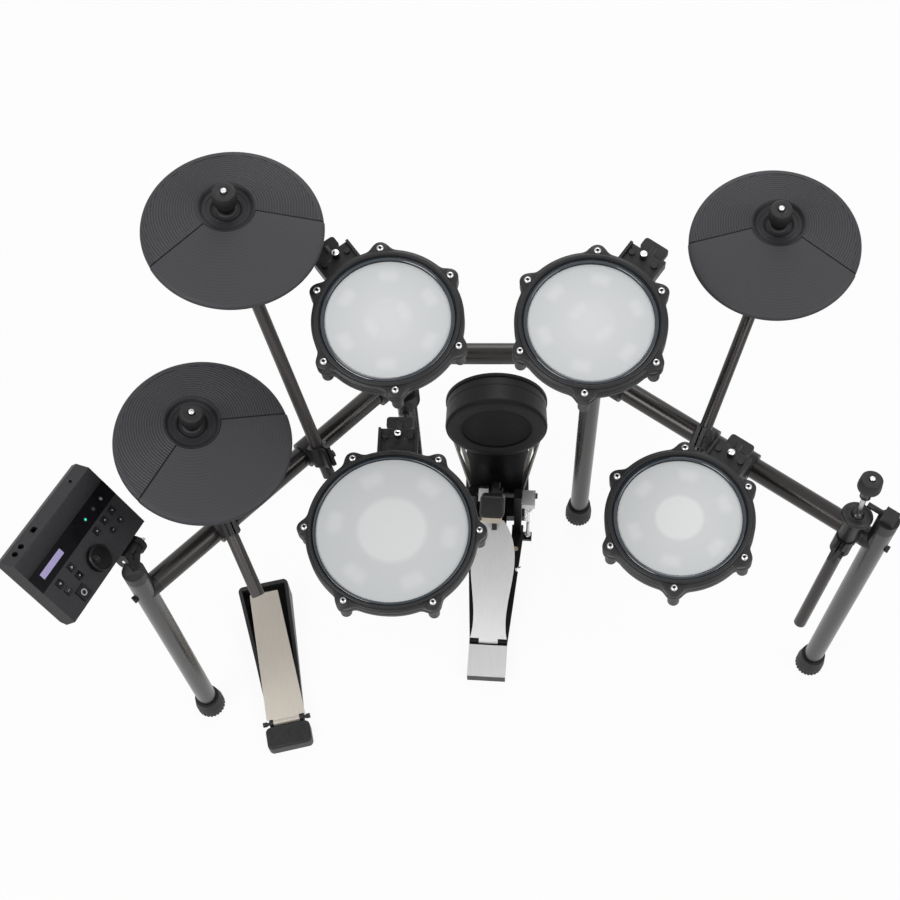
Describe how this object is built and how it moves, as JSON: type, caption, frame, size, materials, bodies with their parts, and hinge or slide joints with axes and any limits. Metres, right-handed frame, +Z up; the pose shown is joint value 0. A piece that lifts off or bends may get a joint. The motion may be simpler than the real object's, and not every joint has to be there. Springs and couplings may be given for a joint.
{
  "type": "electronic drum kit",
  "caption": "Compact electronic drum kit: mesh pads and rubber cymbals on a folding tube rack, with a sound module, kick tower, beater pedal and hi-hat control pedal.",
  "frame": {"origin": "on the floor under the front lip of the kick tower, midway between the two middle legs", "axes": "+X to the player's right along the centre bar, +Y away from the player, +Z up"},
  "size_m": [1.2846, 0.6706, 0.9793],
  "materials": {
    "tube": "satin dark metallic paint",
    "clamp": "moulded black",
    "rods": "black plated rod",
    "foot": "ribbed rubber",
    "post": "plated post",
    "cymbal": "grooved rubber",
    "shell": "moulded black",
    "hoop": "soft rubber hoop",
    "head": "woven mesh",
    "wing": "moulded black",
    "tower": "black paint",
    "kickpad": "soft rubber",
    "pedalbase": "black paint",
    "footboard": "brushed",
    "beater": "black head with felt",
    "spring": "bright",
    "strap": "woven strap",
    "hatbase": "moulded black",
    "hatboard": "brushed",
    "case": "fine texture",
    "window": "gloss window",
    "dial": "satin",
    "button": "moulded keys"
  },
  "bodies": {
    "centre_stand": {"middle_legs": "tube", "middle_feet": "foot", "centre_bar": "tube", "centre_clamps": "clamp", "pad_rods": "rods", "kick_tower": "tower", "kick_pad": "kickpad", "pedal_base": "pedalbase", "pedal_spring": "spring", "pedal_strap": "strap", "hihat_pedal_base": "hatbase"},
    "left_wing": {"left_leg": "tube", "left_foot": "foot", "left_bar": "tube", "left_clamps": "clamp", "left_pipes": "tube", "left_posts": "post"},
    "right_wing": {"right_leg": "tube", "right_foot": "foot", "right_bar": "tube", "right_clamps": "clamp", "right_pipes": "tube", "ride_post": "post"},
    "crash": {"crash_cymbal": "cymbal"},
    "hihat": {"hihat_cymbal": "cymbal"},
    "ride": {"ride_cymbal": "cymbal"},
    "spare": {"spare_post": "post"},
    "footboard": {"pedal_footboard": "footboard"},
    "beater": {"pedal_beater": "beater"},
    "hat_board": {"hihat_pedal_board": "hatboard"},
    "module": {"module_base": "case", "module_top": "case", "module_window": "window"},
    "dial": {"module_dial": "dial"},
    "snare_pad": {"snare_shell": "shell", "snare_hoop": "hoop", "snare_head": "head"},
    "snare_wing": {"snare_wing_bolt": "wing"},
    "left_tom_pad": {"left_tom_shell": "shell", "left_tom_hoop": "hoop", "left_tom_head": "head"},
    "left_tom_wing": {"left_tom_wing_bolt": "wing"},
    "right_tom_pad": {"right_tom_shell": "shell", "right_tom_hoop": "hoop", "right_tom_head": "head"},
    "right_tom_wing": {"right_tom_wing_bolt": "wing"},
    "floor_tom_pad": {"floor_tom_shell": "shell", "floor_tom_hoop": "hoop", "floor_tom_head": "head"},
    "floor_tom_wing": {"floor_tom_wing_bolt": "wing"},
    "key_pad_button_a": {"module_pad_button_a": "button"},
    "key_pad_button_b": {"module_pad_button_b": "button"},
    "key_pad_button_c": {"module_pad_button_c": "button"},
    "key_volume_button_down": {"module_volume_button_down": "button"},
    "key_volume_button_up": {"module_volume_button_up": "button"},
    "key_right_button": {"module_right_button": "button"},
    "key_left_button": {"module_left_button": "button"},
    "key_enter_button": {"module_enter_button": "button"},
    "key_back_button": {"module_back_button": "button"},
    "key_kit_button": {"module_kit_button": "button"}
  },
  "joints": [
    {"name": "left_wing_fold", "type": "hinge", "parent": "centre_stand", "child": "left_wing", "pos_m": [-0.155, 0, 0.545], "axis": [0, 0, 1], "range_deg": [-15, 4]},
    {"name": "right_wing_fold", "type": "hinge", "parent": "centre_stand", "child": "right_wing", "pos_m": [0.155, 0, 0.545], "axis": [0, 0, 1], "range_deg": [-4, 15]},
    {"name": "crash_rock", "type": "hinge", "parent": "left_wing", "child": "crash", "pos_m": [-0.3786, 0.02986, 0.91831], "axis": [0.9959, 0, -0.0906], "range_deg": [-7, 7], "stiffness_Nm_per_rad": 6, "springref_deg": -1.36},
    {"name": "hihat_rock", "type": "hinge", "parent": "left_wing", "child": "hihat", "pos_m": [-0.44312, -0.20197, 0.7176], "axis": [0.9833, 0, -0.1822], "range_deg": [-7, 7], "stiffness_Nm_per_rad": 6, "springref_deg": -1.15},
    {"name": "ride_rock", "type": "hinge", "parent": "right_wing", "child": "ride", "pos_m": [0.41885, 0.08816, 0.80551], "axis": [0.9968, 0, 0.0802], "range_deg": [-7, 7], "stiffness_Nm_per_rad": 6, "springref_deg": -1.42},
    {"name": "spare_tilt", "type": "hinge", "parent": "right_wing", "child": "spare", "pos_m": [0.53333, -0.29645, 0.62], "axis": [0.9681, -0.2505, 0], "range_deg": [-8, 8]},
    {"name": "snare_swing", "type": "hinge", "parent": "centre_stand", "child": "snare_pad", "pos_m": [-0.15027, -0.17332, 0.62029], "axis": [0, 0, 1], "range_deg": [-6, 6]},
    {"name": "snare_wing_turn", "type": "hinge", "parent": "snare_pad", "child": "snare_wing", "pos_m": [-0.15027, -0.17332, 0.62029], "axis": [0.0161, 0.9979, 0.0627], "continuous": true},
    {"name": "left_tom_swing", "type": "hinge", "parent": "centre_stand", "child": "left_tom_pad", "pos_m": [-0.23, -0.00094, 0.84058], "axis": [0, 0, 1], "range_deg": [-6, 6]},
    {"name": "left_tom_wing_turn", "type": "hinge", "parent": "left_tom_pad", "child": "left_tom_wing", "pos_m": [-0.23, -0.00094, 0.84058], "axis": [-0.6031, 0.7877, 0.1258], "continuous": true},
    {"name": "right_tom_swing", "type": "hinge", "parent": "centre_stand", "child": "right_tom_pad", "pos_m": [0.20809, -0.00814, 0.84758], "axis": [0, 0, 1], "range_deg": [-6, 6]},
    {"name": "right_tom_wing_turn", "type": "hinge", "parent": "right_tom_pad", "child": "right_tom_wing", "pos_m": [0.20809, -0.00814, 0.84758], "axis": [0.5868, 0.7978, 0.1385], "continuous": true},
    {"name": "floor_tom_swing", "type": "hinge", "parent": "right_wing", "child": "floor_tom_pad", "pos_m": [0.34085, -0.23147, 0.66864], "axis": [0, 0, 1], "range_deg": [-6, 6]},
    {"name": "floor_tom_wing_turn", "type": "hinge", "parent": "floor_tom_pad", "child": "floor_tom_wing", "pos_m": [0.34085, -0.23147, 0.66864], "axis": [0.6013, 0.7949, 0.0814], "continuous": true},
    {"name": "pedal_press", "type": "hinge", "parent": "centre_stand", "child": "footboard", "pos_m": [-0.01999, -0.2726, 0.024], "axis": [0.9983, -0.0576, 0], "range_deg": [-8.2, 0], "stiffness_Nm_per_rad": 12, "springref_deg": 2.86, "deforming": ["pedal_strap"]},
    {"name": "beater_swing", "type": "hinge", "parent": "centre_stand", "child": "beater", "pos_m": [-0.006, -0.03, 0.152], "axis": [0.9983, -0.0576, 0], "range_deg": [-43, 0], "deforming": ["pedal_spring"]},
    {"name": "hat_press", "type": "hinge", "parent": "centre_stand", "child": "hat_board", "pos_m": [-0.385, -0.423, 0.02], "axis": [0.9744, 0.225, 0], "range_deg": [-7, 0], "stiffness_Nm_per_rad": 20, "springref_deg": 3.44},
    {"name": "module_tilt", "type": "hinge", "parent": "left_wing", "child": "module", "pos_m": [-0.5386, -0.35113, 0.60885], "axis": [0.3164, 0.9087, -0.2723], "range_deg": [-10, 10]},
    {"name": "dial_turn", "type": "hinge", "parent": "module", "child": "dial", "pos_m": [-0.56892, -0.38395, 0.66241], "axis": [0.7446, -0.0601, 0.6648], "continuous": true},
    {"name": "press_pad_button_a", "type": "slide", "parent": "module", "child": "key_pad_button_a", "axis": [-0.7446, 0.0601, -0.6648], "range_m": [0, 0.0008], "stiffness_N_per_m": 600, "springref_m": -0.0006},
    {"name": "press_pad_button_b", "type": "slide", "parent": "module", "child": "key_pad_button_b", "axis": [-0.7446, 0.0601, -0.6648], "range_m": [0, 0.0008], "stiffness_N_per_m": 600, "springref_m": -0.0006},
    {"name": "press_pad_button_c", "type": "slide", "parent": "module", "child": "key_pad_button_c", "axis": [-0.7446, 0.0601, -0.6648], "range_m": [0, 0.0008], "stiffness_N_per_m": 600, "springref_m": -0.0006},
    {"name": "press_volume_button_down", "type": "slide", "parent": "module", "child": "key_volume_button_down", "axis": [-0.7446, 0.0601, -0.6648], "range_m": [0, 0.0008], "stiffness_N_per_m": 600, "springref_m": -0.0006},
    {"name": "press_volume_button_up", "type": "slide", "parent": "module", "child": "key_volume_button_up", "axis": [-0.7446, 0.0601, -0.6648], "range_m": [0, 0.0008], "stiffness_N_per_m": 600, "springref_m": -0.0006},
    {"name": "press_right_button", "type": "slide", "parent": "module", "child": "key_right_button", "axis": [-0.7446, 0.0601, -0.6648], "range_m": [0, 0.0008], "stiffness_N_per_m": 600, "springref_m": -0.0006},
    {"name": "press_left_button", "type": "slide", "parent": "module", "child": "key_left_button", "axis": [-0.7446, 0.0601, -0.6648], "range_m": [0, 0.0008], "stiffness_N_per_m": 600, "springref_m": -0.0006},
    {"name": "press_enter_button", "type": "slide", "parent": "module", "child": "key_enter_button", "axis": [-0.7446, 0.0601, -0.6648], "range_m": [0, 0.0008], "stiffness_N_per_m": 600, "springref_m": -0.0006},
    {"name": "press_back_button", "type": "slide", "parent": "module", "child": "key_back_button", "axis": [-0.7446, 0.0601, -0.6648], "range_m": [0, 0.0008], "stiffness_N_per_m": 600, "springref_m": -0.0006},
    {"name": "press_kit_button", "type": "slide", "parent": "module", "child": "key_kit_button", "axis": [-0.7446, 0.0601, -0.6648], "range_m": [0, 0.0008], "stiffness_N_per_m": 600, "springref_m": -0.0006}
  ],
  "couplings": [
    {"joint": "beater_swing", "follows": "pedal_press", "ratio": 5.2439}
  ]
}
